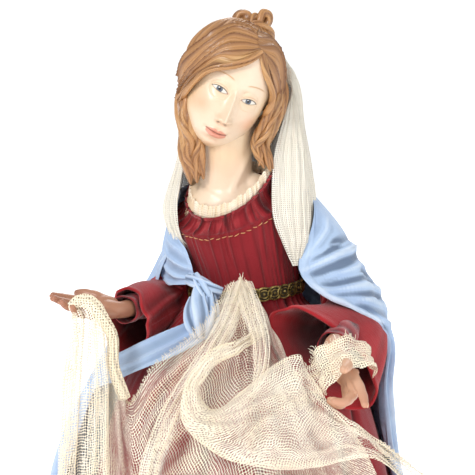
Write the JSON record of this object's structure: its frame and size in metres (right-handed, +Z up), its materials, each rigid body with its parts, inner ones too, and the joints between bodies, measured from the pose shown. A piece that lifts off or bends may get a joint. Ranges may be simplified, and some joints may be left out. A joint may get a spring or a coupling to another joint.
{
  "type": "dressed madonna figure",
  "caption": "Kneeling madonna creche figure with cast head and hands, cloth dress, cloak and veil, holding out a long gauze, on a low oval base.",
  "frame": {"origin": "centre of the oval base's flat underside", "axes": "+Z up, -Y the way the figure faces, +X the figure's own left, which is the viewer's right"},
  "size_m": [0.288, 0.296, 0.3833],
  "materials": {
    "base": "stained and waxed",
    "head_and_bust": "painted cast, satin",
    "right_hand": "painted cast, satin",
    "left_hand": "painted cast, satin",
    "dress": "gathered cotton",
    "collar_frill": "gathered lace",
    "belt": "braided metallic thread",
    "right_cuff": "fine cotton",
    "left_cuff": "fine cotton",
    "right_sleeve": "cotton",
    "left_sleeve": "cotton",
    "mantle": "plain cotton",
    "veil": "fine open net",
    "gauze": "open weave cheesecloth"
  },
  "bodies": {
    "root": {"base": "base", "head_and_bust": "head_and_bust", "right_hand": "right_hand", "left_hand": "left_hand", "dress": "dress", "collar_frill": "collar_frill", "belt": "belt", "right_cuff": "right_cuff", "left_cuff": "left_cuff", "right_sleeve": "right_sleeve", "left_sleeve": "left_sleeve", "mantle": "mantle", "veil": "veil", "gauze": "gauze"}
  },
  "joints": []
}
